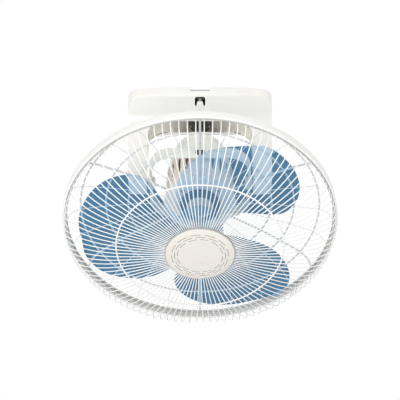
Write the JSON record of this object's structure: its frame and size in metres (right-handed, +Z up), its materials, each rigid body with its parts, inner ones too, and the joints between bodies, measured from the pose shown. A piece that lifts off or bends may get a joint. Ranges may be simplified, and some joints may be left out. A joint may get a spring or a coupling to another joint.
{
  "type": "orbital ceiling fan",
  "caption": "Ceiling fan on a forked yoke and gimbal ring: the caged three-blade head is walked round in a cone by a crank behind its motor.",
  "frame": {"origin": "middle of the flat ceiling face, on the ceiling plate", "axes": "+Z up into the ceiling, -Y the front of the base with its cable notch, X across the two yoke legs"},
  "size_m": [0.4484, 0.4388, 0.3447],
  "materials": {
    "shell_white": "smooth moulded plastic, satin gloss",
    "ring_white": "smooth moulded plastic, satin gloss",
    "guard_white": "white powder-coated steel wire",
    "motor_enamel": "warm grey stove enamel",
    "cap_grey": "warm light grey moulded plastic",
    "blade_blue": "translucent blue moulded plastic",
    "plated_steel": "zinc-plated steel",
    "dark_steel": "blackened steel",
    "copper": "varnished copper wire",
    "black_nylon": "dark moulded nylon",
    "pale_nylon": "pale moulded nylon"
  },
  "bodies": {
    "base": {"yoke_base": "shell_white", "ceiling_plate": "plated_steel", "base_screw_front": "plated_steel", "base_screw_left": "plated_steel", "base_screw_right": "plated_steel", "terminal_block": "pale_nylon", "run_capacitor": "black_nylon", "capacitor_screw": "plated_steel", "cable_clamp": "black_nylon", "clamp_screw_left": "plated_steel", "clamp_screw_right": "plated_steel", "crank_socket": "black_nylon", "socket_screw_left": "plated_steel", "socket_screw_right": "plated_steel", "yoke_pin_left": "dark_steel", "yoke_pin_right": "dark_steel"},
    "ring": {"gimbal_ring": "ring_white", "ring_bush_left": "black_nylon", "ring_bush_right": "black_nylon", "ring_pin_front": "dark_steel", "ring_pin_back": "dark_steel"},
    "head": {"motor_bush_front": "black_nylon", "motor_bush_back": "black_nylon", "motor_housing": "motor_enamel", "motor_front_cover": "motor_enamel", "stator_core": "plated_steel", "winding_front": "copper", "winding_rear": "copper", "bearing_front": "dark_steel", "bearing_rear": "dark_steel", "motor_bolt_1": "plated_steel", "motor_bolt_2": "plated_steel", "motor_bolt_3": "plated_steel", "motor_bolt_4": "plated_steel", "motor_dome": "ring_white", "dome_screw_left": "plated_steel", "dome_screw_right": "plated_steel", "swing_motor": "plated_steel", "rear_guard": "guard_white", "guard_lock_nut": "black_nylon", "front_guard": "guard_white", "guard_hoop": "guard_white", "hoop_screw": "dark_steel", "hoop_nut": "dark_steel", "guard_cap": "cap_grey", "cap_retainer": "pale_nylon", "cap_screw_1": "plated_steel", "cap_screw_2": "plated_steel", "cap_screw_3": "plated_steel"},
    "crank": {"swing_shaft": "plated_steel", "crank_arm": "pale_nylon", "crank_screw": "plated_steel", "crank_pin": "plated_steel", "crank_roller": "black_nylon"},
    "rotor": {"motor_shaft": "plated_steel", "rotor_core": "dark_steel", "drive_pin": "plated_steel", "blade_set": "blade_blue", "blade_nut": "blade_blue"}
  },
  "joints": [
    {"name": "ring_tilt", "type": "hinge", "parent": "base", "child": "ring", "pos_m": [0, 0, -0.157], "axis": [1, 0, 0], "range_deg": [0, 28]},
    {"name": "head_swing", "type": "hinge", "parent": "ring", "child": "head", "pos_m": [0, 0, -0.157], "axis": [0, -0.9703, 0.2419], "range_deg": [-14, 14]},
    {"name": "crank_turn", "type": "hinge", "parent": "head", "child": "crank", "pos_m": [0, 0, -0.157], "axis": [0, 0.2419, 0.9703], "continuous": true},
    {"name": "rotor_spin", "type": "hinge", "parent": "head", "child": "rotor", "pos_m": [0, 0, -0.157], "axis": [0, -0.2419, -0.9703], "continuous": true}
  ]
}
